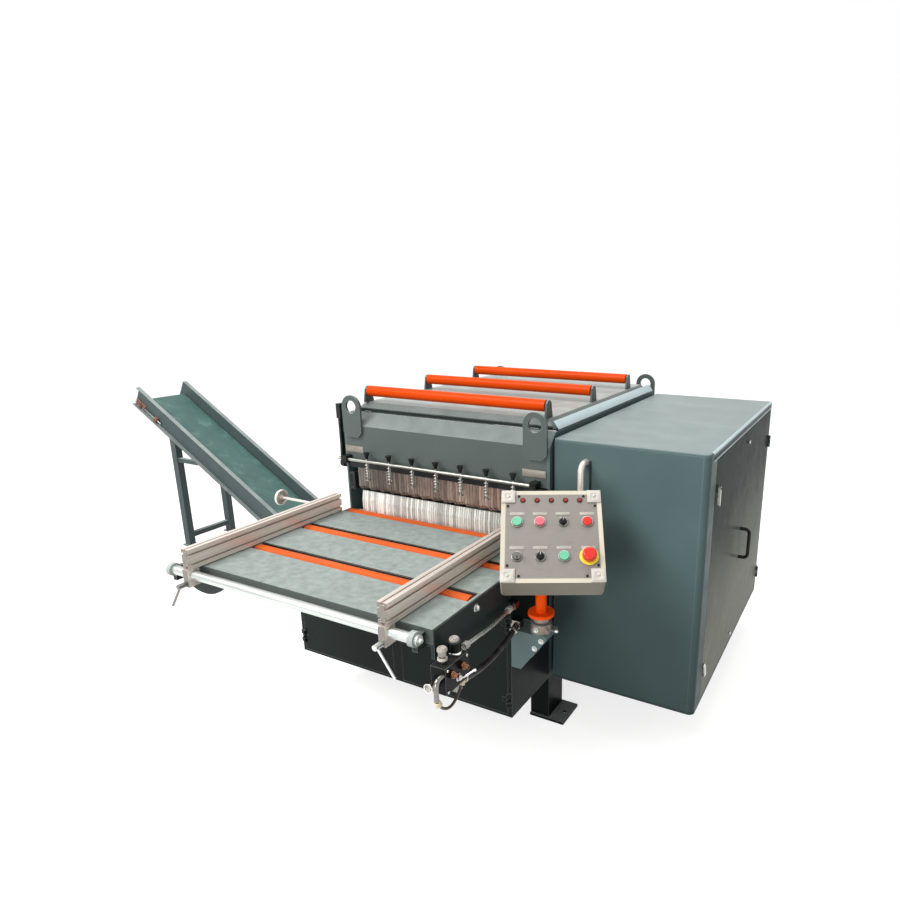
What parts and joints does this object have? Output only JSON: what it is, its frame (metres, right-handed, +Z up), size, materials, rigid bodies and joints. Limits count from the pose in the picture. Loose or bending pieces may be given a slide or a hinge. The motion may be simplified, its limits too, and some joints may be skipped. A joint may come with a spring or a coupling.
{
  "type": "double edging saw",
  "caption": "Double edging saw with a roller infeed table, sliding fences, sprung kick-back fingers, drive cabinet, control box and a rising waste conveyor.",
  "frame": {"origin": "on the floor, midway between the four floor anchors", "axes": "+X along the rollers to the right, +Y the feed direction into the saw, +Z up"},
  "size_m": [4.422, 2.2683, 1.415],
  "materials": {
    "teal_paint": "glossy dark teal-grey enamel",
    "dark_paint": "dark teal-grey enamel in shade",
    "orange_paint": "glossy orange enamel",
    "polished_steel": "polished steel",
    "worn_steel": "bare steel, slightly browned",
    "bright_steel": "bare bright steel",
    "anodised": "natural anodised",
    "chrome": "chrome plate",
    "black_plastic": "black plastic",
    "black_metal": "black paint",
    "belt_green": "green conveyor belt",
    "drive_rubber": "black rubber",
    "box_ivory": "pale enamel",
    "face_grey": "satin grey plate",
    "red_plastic": "red plastic",
    "green_plastic": "green plastic",
    "motor_grey": "painted cast housing",
    "blade_steel": "ground saw steel",
    "channel_grey": "grey enamel channel"
  },
  "bodies": {
    "frame": {"main_frame": "teal_paint", "hood_shell": "teal_paint", "front_box": "dark_paint", "table_frame": "teal_paint", "table_plates": "teal_paint", "front_bar": "polished_steel", "spring_rail": "polished_steel", "rail_caps": "black_plastic", "springs": "bright_steel", "cabinet_shell": "teal_paint", "bow_handle": "black_plastic", "arbor_housing": "motor_grey", "motor": "motor_grey", "drive_belts": "drive_rubber", "panel_bracket": "teal_paint", "valve_block": "black_metal", "valve_fittings": "chrome", "hose_thin": "drive_rubber", "hose_thick": "drive_rubber", "hose_loop": "drive_rubber", "conveyor_frame": "channel_grey", "conveyor_belt": "belt_green"},
    "lid": {"hood_lid": "teal_paint"},
    "return_front": {"return_roller_front": "orange_paint"},
    "return_middle": {"return_roller_middle": "orange_paint"},
    "return_rear": {"return_roller_rear": "orange_paint"},
    "finger_row": {"finger_lever": "black_metal", "upper_fingers": "worn_steel"},
    "lower_row": {"lower_fingers": "bright_steel"},
    "infeed_front": {"infeed_roller_front": "orange_paint"},
    "infeed_middle": {"infeed_roller_middle": "orange_paint"},
    "infeed_rear": {"infeed_roller_rear": "orange_paint"},
    "left_fence": {"fence_left": "anodised"},
    "right_fence": {"fence_right": "anodised"},
    "left_lever": {"clamp_lever_left": "polished_steel"},
    "right_lever": {"clamp_lever_right": "polished_steel"},
    "fence_wheel": {"hand_wheel": "chrome"},
    "left_front_door": {"front_door_left": "teal_paint"},
    "right_front_door": {"front_door_right": "teal_paint"},
    "side_door": {"cabinet_door": "teal_paint", "door_handle": "black_plastic"},
    "side_latch": {"door_latch": "chrome"},
    "arbor": {"saw_arbor": "blade_steel"},
    "sliding_blade": {"moving_blade": "blade_steel"},
    "fork": {"shift_fork": "worn_steel"},
    "motor_rotor": {"motor_pulley": "blade_steel"},
    "panel": {"control_box": "box_ivory", "control_face": "face_grey", "panel_post": "orange_paint", "indicator_lamps": "red_plastic"},
    "green_upper": {"button_green_upper": "green_plastic"},
    "red_upper": {"button_red_upper": "red_plastic"},
    "turn_upper": {"selector_upper": "black_plastic"},
    "red_right": {"button_red_right": "red_plastic"},
    "key": {"key_switch": "chrome"},
    "turn_lower": {"selector_lower": "black_plastic"},
    "green_lower": {"button_green_lower": "green_plastic"},
    "stop_knob": {"emergency_stop": "red_plastic"},
    "conveyor_head": {"head_drum": "worn_steel"},
    "conveyor_tail": {"tail_drum": "worn_steel"}
  },
  "joints": [
    {"name": "lid_hinge", "type": "hinge", "parent": "frame", "child": "lid", "pos_m": [0, 0.608, 1.313], "axis": [-1, 0, 0], "range_deg": [0, 70]},
    {"name": "return_front_spin", "type": "hinge", "parent": "lid", "child": "return_front", "pos_m": [0, -0.556, 1.39], "axis": [1, 0, 0], "continuous": true},
    {"name": "return_middle_spin", "type": "hinge", "parent": "lid", "child": "return_middle", "pos_m": [0, -0.086, 1.39], "axis": [1, 0, 0], "continuous": true},
    {"name": "return_rear_spin", "type": "hinge", "parent": "lid", "child": "return_rear", "pos_m": [0, 0.384, 1.39], "axis": [1, 0, 0], "continuous": true},
    {"name": "finger_turn", "type": "hinge", "parent": "frame", "child": "finger_row", "pos_m": [0, -0.65, 1.053], "axis": [1, 0, 0], "range_deg": [0, 70]},
    {"name": "lower_turn", "type": "hinge", "parent": "frame", "child": "lower_row", "pos_m": [0, -0.64, 0.806], "axis": [-1, 0, 0], "range_deg": [0, 60], "stiffness_Nm_per_rad": 14},
    {"name": "infeed_front_spin", "type": "hinge", "parent": "frame", "child": "infeed_front", "pos_m": [0, -1.234, 0.802], "axis": [1, 0, 0], "continuous": true},
    {"name": "infeed_middle_spin", "type": "hinge", "parent": "frame", "child": "infeed_middle", "pos_m": [0, -0.967, 0.802], "axis": [1, 0, 0], "continuous": true},
    {"name": "infeed_rear_spin", "type": "hinge", "parent": "frame", "child": "infeed_rear", "pos_m": [0, -0.7, 0.802], "axis": [1, 0, 0], "continuous": true},
    {"name": "left_fence_slide", "type": "slide", "parent": "frame", "child": "left_fence", "axis": [1, 0, 0], "range_m": [-0.04, 0.18]},
    {"name": "right_fence_slide", "type": "slide", "parent": "frame", "child": "right_fence", "axis": [1, 0, 0], "range_m": [-0.25, 0.07]},
    {"name": "left_lever_turn", "type": "hinge", "parent": "left_fence", "child": "left_lever", "pos_m": [-0.545, -1.525, 0.788], "axis": [0, 1, 0], "range_deg": [-60, 60]},
    {"name": "right_lever_turn", "type": "hinge", "parent": "right_fence", "child": "right_lever", "pos_m": [0.395, -1.525, 0.788], "axis": [0, 1, 0], "range_deg": [-60, 60]},
    {"name": "fence_wheel_spin", "type": "hinge", "parent": "left_fence", "child": "fence_wheel", "pos_m": [-0.7, -0.82, 0.883], "axis": [1, 0, 0], "continuous": true},
    {"name": "left_front_door_hinge", "type": "hinge", "parent": "frame", "child": "left_front_door", "pos_m": [-0.573, -1.002, 0.45], "axis": [0, 0, -1], "range_deg": [0, 90]},
    {"name": "right_front_door_hinge", "type": "hinge", "parent": "frame", "child": "right_front_door", "pos_m": [0.523, -1.002, 0.45], "axis": [0, 0, 1], "range_deg": [0, 90]},
    {"name": "side_door_hinge", "type": "hinge", "parent": "frame", "child": "side_door", "pos_m": [1.176, 0.656, 0.7], "axis": [0, 0, 1], "range_deg": [0, 100]},
    {"name": "side_latch_turn", "type": "hinge", "parent": "side_door", "child": "side_latch", "pos_m": [1.17, -0.51, 1.121], "axis": [1, 0, 0], "range_deg": [0, 90]},
    {"name": "arbor_spin", "type": "hinge", "parent": "frame", "child": "arbor", "pos_m": [0, 0, 0.69], "axis": [1, 0, 0], "continuous": true},
    {"name": "blade_shift", "type": "slide", "parent": "arbor", "child": "sliding_blade", "axis": [1, 0, 0], "range_m": [0, 0.25]},
    {"name": "fork_shift", "type": "slide", "parent": "frame", "child": "fork", "axis": [1, 0, 0], "range_m": [0, 0.25]},
    {"name": "motor_spin", "type": "hinge", "parent": "frame", "child": "motor_rotor", "pos_m": [0.6, 0, 0.44], "axis": [1, 0, 0], "continuous": true},
    {"name": "panel_swivel", "type": "hinge", "parent": "frame", "child": "panel", "pos_m": [0.649, -0.957, 0.62], "axis": [0, 0, 1], "range_deg": [-5, 6]},
    {"name": "green_upper_push", "type": "slide", "parent": "panel", "child": "green_upper", "axis": [-0.3158, 0.5914, -0.742], "range_m": [0, 0.005], "stiffness_N_per_m": 600, "springref_m": -0.002},
    {"name": "red_upper_push", "type": "slide", "parent": "panel", "child": "red_upper", "axis": [-0.3158, 0.5914, -0.742], "range_m": [0, 0.005], "stiffness_N_per_m": 600, "springref_m": -0.002},
    {"name": "turn_upper_turn", "type": "hinge", "parent": "panel", "child": "turn_upper", "pos_m": [0.72199, -0.92665, 1.04486], "axis": [0.3158, -0.5914, 0.742], "range_deg": [-45, 45]},
    {"name": "red_right_push", "type": "slide", "parent": "panel", "child": "red_right", "axis": [-0.3158, 0.5914, -0.742], "range_m": [0, 0.005], "stiffness_N_per_m": 600, "springref_m": -0.002},
    {"name": "key_turn", "type": "hinge", "parent": "panel", "child": "key", "pos_m": [0.62397, -1.09339, 0.95368], "axis": [0.3158, -0.5914, 0.742], "range_deg": [0, 60]},
    {"name": "turn_lower_turn", "type": "hinge", "parent": "panel", "child": "turn_lower", "pos_m": [0.69631, -1.05476, 0.95368], "axis": [0.3158, -0.5914, 0.742], "range_deg": [-45, 45]},
    {"name": "green_lower_push", "type": "slide", "parent": "panel", "child": "green_lower", "axis": [-0.3158, 0.5914, -0.742], "range_m": [0, 0.005], "stiffness_N_per_m": 600, "springref_m": -0.002},
    {"name": "stop_push", "type": "slide", "parent": "panel", "child": "stop_knob", "axis": [-0.3158, 0.5914, -0.742], "range_m": [0, 0.005]},
    {"name": "conveyor_head_spin", "type": "hinge", "parent": "frame", "child": "conveyor_head", "pos_m": [-3.13407, 0.15, 1.04349], "axis": [0, 1, 0], "continuous": true},
    {"name": "conveyor_tail_spin", "type": "hinge", "parent": "frame", "child": "conveyor_tail", "pos_m": [0.2, 0.15, 0.052], "axis": [0, 1, 0], "continuous": true}
  ],
  "couplings": [
    {"joint": "infeed_middle_spin", "follows": "infeed_front_spin", "ratio": 1},
    {"joint": "infeed_rear_spin", "follows": "infeed_front_spin", "ratio": 1},
    {"joint": "blade_shift", "follows": "fork_shift", "ratio": 1},
    {"joint": "motor_spin", "follows": "arbor_spin", "ratio": 1},
    {"joint": "conveyor_tail_spin", "follows": "conveyor_head_spin", "ratio": 1}
  ]
}
